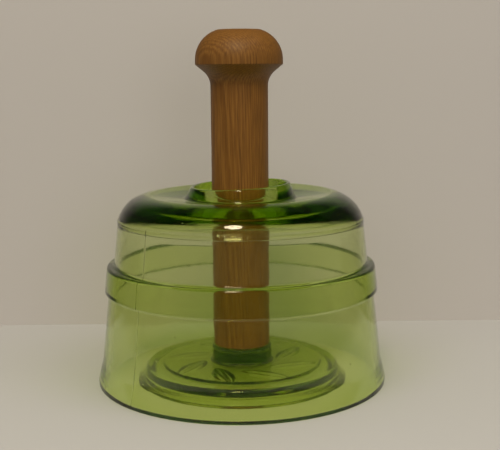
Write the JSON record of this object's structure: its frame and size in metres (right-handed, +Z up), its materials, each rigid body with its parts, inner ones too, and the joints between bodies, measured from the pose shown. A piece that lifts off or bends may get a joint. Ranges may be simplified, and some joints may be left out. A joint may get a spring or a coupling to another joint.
{
  "type": "butter mould",
  "caption": "Green glass bell-shaped butter mould, open below, with a round glass print stamp inside on a turned wooden plunger handle that slides through a collar in the top.",
  "frame": {"origin": "centre of the case's rim, on the surface that the mould stands on", "axes": "+Z up along the axis of the case, the handle and the stamp; +X and +Y are free, as the mould is round"},
  "size_m": [0.127, 0.127, 0.1522],
  "materials": {
    "case_glass": "clear green pressed glass, fire polished",
    "turned_wood": "turned hardwood, waxed, worn satin",
    "stamp_glass": "clear green pressed glass, fire polished"
  },
  "bodies": {
    "case": {"glass_case": "case_glass"},
    "handle": {"wooden_handle": "turned_wood"},
    "stamp": {"glass_stamp": "stamp_glass"}
  },
  "joints": [
    {"name": "plunger_slide", "type": "slide", "parent": "case", "child": "handle", "axis": [0, 0, 1], "range_m": [-0.053, 0.0608]},
    {"name": "stamp_turn", "type": "hinge", "parent": "handle", "child": "stamp", "pos_m": [0, 0, 0.0152], "axis": [0, 0, 1], "continuous": true}
  ]
}
